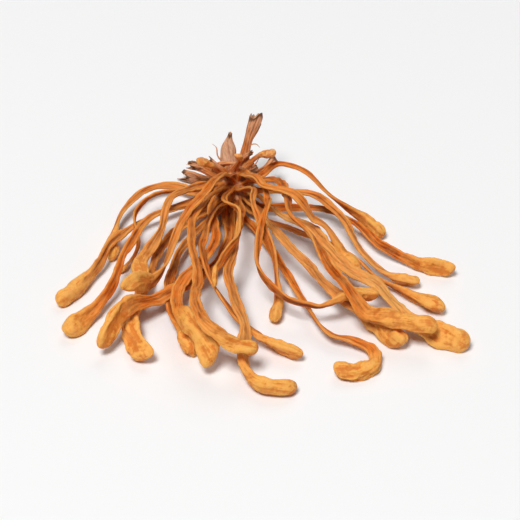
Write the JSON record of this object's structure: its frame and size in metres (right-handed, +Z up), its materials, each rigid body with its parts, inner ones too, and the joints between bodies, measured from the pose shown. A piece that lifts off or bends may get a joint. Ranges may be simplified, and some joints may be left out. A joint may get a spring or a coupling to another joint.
{
  "type": "dried cordyceps clump",
  "caption": "Lying clump of dried orange fungus: twisted, furrowed slender stems with blunt club heads, grown together at one knotted base with torn brown feet.",
  "frame": {"origin": "the middle of the clump's footprint, on the surface that it rests on", "axes": "+Z up; +Y from the club heads towards the torn feet; +X to the right as seen from the club heads"},
  "size_m": [0.1103, 0.0972, 0.024],
  "materials": {
    "dried_stem": "dry, matt, wrinkled mushroom flesh, orange with paler club heads",
    "dried_base": "dry, matt, fibrous mushroom flesh, orange going to dark brown at the torn feet"
  },
  "bodies": {
    "root": {"base": "dried_base", "stem_left_back": "dried_stem", "stem_left_outer": "dried_stem", "stem_left_broad": "dried_stem", "stem_left_round": "dried_stem", "stem_ribbon_left": "dried_stem", "stem_curled": "dried_stem", "stem_right_low": "dried_stem", "stem_right_outer": "dried_stem", "stem_left_thin": "dried_stem", "stem_left_arched": "dried_stem", "stem_wrinkled": "dried_stem", "stem_middle": "dried_stem", "stem_bent_club": "dried_stem", "stem_right_front": "dried_stem", "stem_ribbon_right": "dried_stem", "stem_right_arched": "dried_stem", "stem_left_short": "dried_stem", "stem_dimpled": "dried_stem", "stem_thin": "dried_stem", "stem_short": "dried_stem", "stem_kinked": "dried_stem", "stem_long_club": "dried_stem", "stem_right_short": "dried_stem", "stem_crown_right": "dried_stem", "stem_crown_left": "dried_stem"}
  },
  "joints": []
}
